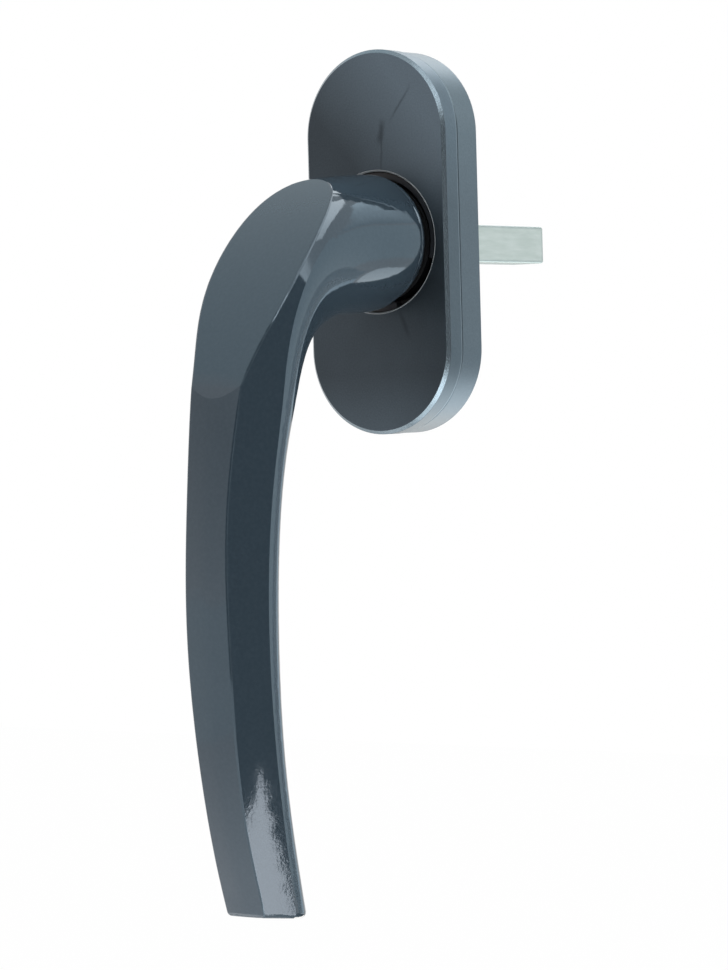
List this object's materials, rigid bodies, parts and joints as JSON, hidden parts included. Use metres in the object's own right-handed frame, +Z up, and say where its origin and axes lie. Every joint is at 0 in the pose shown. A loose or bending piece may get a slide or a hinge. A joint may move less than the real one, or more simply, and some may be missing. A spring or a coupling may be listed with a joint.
{
  "type": "window handle",
  "caption": "Window handle: a faceted lever bends down from a round neck on a slim pill-shaped rosette with a clipped cover, a ball detent and a square spindle behind.",
  "frame": {"origin": "centre of the rosette's back on the spindle's axis, in the plane that meets the window frame, midway between the screw holes", "axes": "+Z up along the rosette, the lever hanging along -Z in its closed position; +Y back into the window along the spindle; -Y the front"},
  "size_m": [0.031, 0.1031, 0.1537],
  "materials": {
    "lever_paint": "glossy metallic anthracite",
    "rosette_plastic": "satin anthracite",
    "clip_plastic": "satin grey",
    "bush_plastic": "black, low friction",
    "zinc_plated_steel": "zinc plated",
    "spring_steel": "bright drawn"
  },
  "bodies": {
    "rosette": {"base_plate": "rosette_plastic", "back_plate": "zinc_plated_steel", "bearing_bush": "bush_plastic", "detent_spring_upper": "spring_steel", "detent_spring_lower": "spring_steel"},
    "lever": {"lever": "lever_paint", "spindle": "zinc_plated_steel", "retaining_ring": "spring_steel", "detent_disc": "zinc_plated_steel"},
    "clip": {"cover_clip": "clip_plastic"},
    "cover": {"cover_cap": "rosette_plastic"},
    "ball_upper": {"detent_ball_upper": "spring_steel"},
    "ball_lower": {"detent_ball_lower": "spring_steel"}
  },
  "joints": [
    {"name": "lever_turn", "type": "hinge", "parent": "rosette", "child": "lever", "pos_m": [0, 0, 0], "axis": [0, 1, 0], "continuous": true},
    {"name": "cover_lift", "type": "slide", "parent": "rosette", "child": "clip", "axis": [0, -1, 0], "range_m": [0, 0.0013]},
    {"name": "cover_turn", "type": "hinge", "parent": "clip", "child": "cover", "pos_m": [0, 0, 0], "axis": [0, 1, 0], "range_deg": [-90, 90]},
    {"name": "ball_upper_slide", "type": "slide", "parent": "rosette", "child": "ball_upper", "axis": [0, 0, 1], "range_m": [-0.001, 0], "stiffness_N_per_m": 300, "springref_m": -0.003, "deforming": ["detent_spring_upper"]},
    {"name": "ball_lower_slide", "type": "slide", "parent": "rosette", "child": "ball_lower", "axis": [0, 0, -1], "range_m": [-0.001, 0], "stiffness_N_per_m": 300, "springref_m": -0.003, "deforming": ["detent_spring_lower"]}
  ]
}
